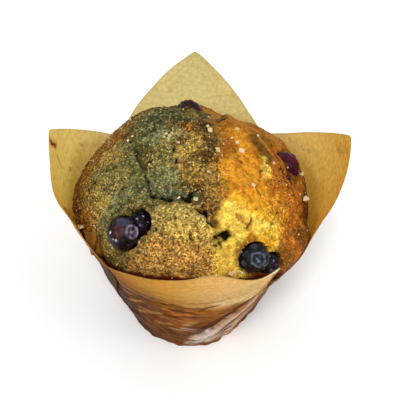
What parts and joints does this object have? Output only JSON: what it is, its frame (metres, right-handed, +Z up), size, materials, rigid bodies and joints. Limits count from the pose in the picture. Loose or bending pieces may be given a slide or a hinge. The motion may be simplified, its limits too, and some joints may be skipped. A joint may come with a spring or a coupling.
{
  "type": "muffin",
  "caption": "Blueberry muffin with a domed, cracked crust and whole berries in its top, standing in a brown pleated paper case with tall pointed corner flaps",
  "frame": {"origin": "centre of the flat round base of the paper case, on the surface it stands on", "axes": "+Z up; -Y towards the flap that leans out in front; +X to the right of it"},
  "size_m": [0.0964, 0.1026, 0.0835],
  "materials": {
    "baked_crumb": "matte",
    "brown_paper": "matte",
    "berry_skin": "satin"
  },
  "bodies": {
    "root": {"muffin": "baked_crumb", "paper_case": "brown_paper", "berry_front_left": "berry_skin", "berry_front_right": "berry_skin", "berry_back": "berry_skin", "berry_right": "berry_skin"}
  },
  "joints": []
}
